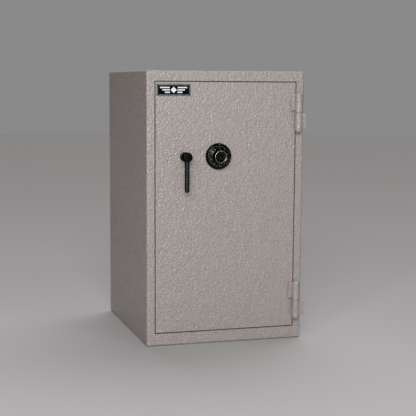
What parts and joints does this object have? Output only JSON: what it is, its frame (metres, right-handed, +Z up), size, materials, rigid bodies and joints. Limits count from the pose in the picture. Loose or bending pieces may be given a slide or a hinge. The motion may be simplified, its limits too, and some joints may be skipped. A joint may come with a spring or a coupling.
{
  "type": "fire safe",
  "caption": "Upright fire-resistant steel safe with one flush right-hung door, a combination dial, a lever handle and two shelves inside.",
  "frame": {"origin": "centre of the cabinet's underside, on the surface it stands on", "axes": "+Z up, +X to the right seen from the front, +Y from the door to the back"},
  "size_m": [0.516, 0.6125, 0.85],
  "materials": {
    "body_paint": "satin",
    "liner_paint": "matte",
    "fire_fill": "matte",
    "gloss_black_plastic": "gloss",
    "cap_plastic": "matte",
    "black_enamel": "satin",
    "bright_chrome": "polished",
    "zinc_steel": "satin",
    "lock_brass": "satin",
    "seal_strip": "matte",
    "plate_enamel": "gloss"
  },
  "bodies": {
    "cabinet": {"outer_jacket": "body_paint", "back_panel": "body_paint", "door_frame": "body_paint", "cabinet_fire_fill": "fire_fill", "inner_liner": "liner_paint", "anchor_sleeve": "zinc_steel", "anchor_hole_plug": "cap_plastic", "lower_shelf": "liner_paint", "lower_shelf_bracket_left": "zinc_steel", "lower_shelf_bracket_right": "zinc_steel", "upper_shelf": "liner_paint", "upper_shelf_bracket_left": "zinc_steel", "upper_shelf_bracket_right": "zinc_steel", "lower_hinge_frame_leaf": "body_paint", "lower_hinge_pin": "zinc_steel", "lower_hinge_washer": "lock_brass", "upper_hinge_frame_leaf": "body_paint", "upper_hinge_pin": "zinc_steel", "upper_hinge_washer": "lock_brass"},
    "door": {"door_skin": "body_paint", "door_pan": "body_paint", "door_fire_fill": "fire_fill", "door_seal": "seal_strip", "boltwork_plate": "zinc_steel", "door_inner_cover": "liner_paint", "nameplate": "plate_enamel", "dial_spindle_tube": "lock_brass", "handle_bush": "lock_brass", "dead_bolt_lower": "zinc_steel", "dead_bolt_middle": "zinc_steel", "dead_bolt_upper": "zinc_steel", "lower_hinge_door_leaf": "body_paint", "upper_hinge_door_leaf": "body_paint", "handle_rose": "black_enamel", "guide_stud_lower": "lock_brass", "guide_stud_upper": "lock_brass", "dial_ring": "gloss_black_plastic", "lock_case": "zinc_steel", "lock_cover": "zinc_steel", "wheel_post": "lock_brass"},
    "lever_handle": {"handle_hub": "black_enamel", "handle_lever": "black_enamel", "handle_spindle": "zinc_steel", "handle_crank": "zinc_steel"},
    "boltwork": {"bolt_carrier": "zinc_steel", "live_bolt_lower": "bright_chrome", "live_bolt_middle": "bright_chrome", "live_bolt_upper": "bright_chrome"},
    "dial": {"dial_skirt": "gloss_black_plastic", "dial_knob": "gloss_black_plastic", "dial_trim_ring": "bright_chrome", "dial_spindle": "zinc_steel", "drive_cam": "lock_brass"},
    "front_wheel": {"wheel_front": "lock_brass"},
    "middle_wheel": {"wheel_middle": "lock_brass"},
    "rear_wheel": {"wheel_rear": "lock_brass"},
    "lock_slide": {"lock_bolt": "lock_brass", "lock_lever": "lock_brass"}
  },
  "joints": [
    {"name": "door_swing", "type": "hinge", "parent": "cabinet", "child": "door", "pos_m": [0.232, -0.295, 0.425], "axis": [0, 0, 1], "range_deg": [0, 180]},
    {"name": "handle_turn", "type": "hinge", "parent": "door", "child": "lever_handle", "pos_m": [-0.136, -0.3, 0.5895], "axis": [0, 1, 0], "range_deg": [0, 70]},
    {"name": "bolt_throw", "type": "slide", "parent": "door", "child": "boltwork", "axis": [-1, 0, 0], "range_m": [0, 0.01836]},
    {"name": "dial_turn", "type": "hinge", "parent": "door", "child": "dial", "pos_m": [-0.027, -0.3, 0.5895], "axis": [0, 1, 0], "continuous": true},
    {"name": "front_wheel_turn", "type": "hinge", "parent": "door", "child": "front_wheel", "pos_m": [-0.027, -0.3, 0.5895], "axis": [0, 1, 0], "continuous": true},
    {"name": "middle_wheel_turn", "type": "hinge", "parent": "door", "child": "middle_wheel", "pos_m": [-0.027, -0.3, 0.5895], "axis": [0, 1, 0], "continuous": true},
    {"name": "rear_wheel_turn", "type": "hinge", "parent": "door", "child": "rear_wheel", "pos_m": [-0.027, -0.3, 0.5895], "axis": [0, 1, 0], "continuous": true},
    {"name": "lock_bolt_slide", "type": "slide", "parent": "door", "child": "lock_slide", "axis": [0, 0, 1], "range_m": [0, 0.01]}
  ],
  "couplings": [
    {"joint": "bolt_throw", "follows": "handle_turn", "m_per_rad": 0.015025}
  ]
}
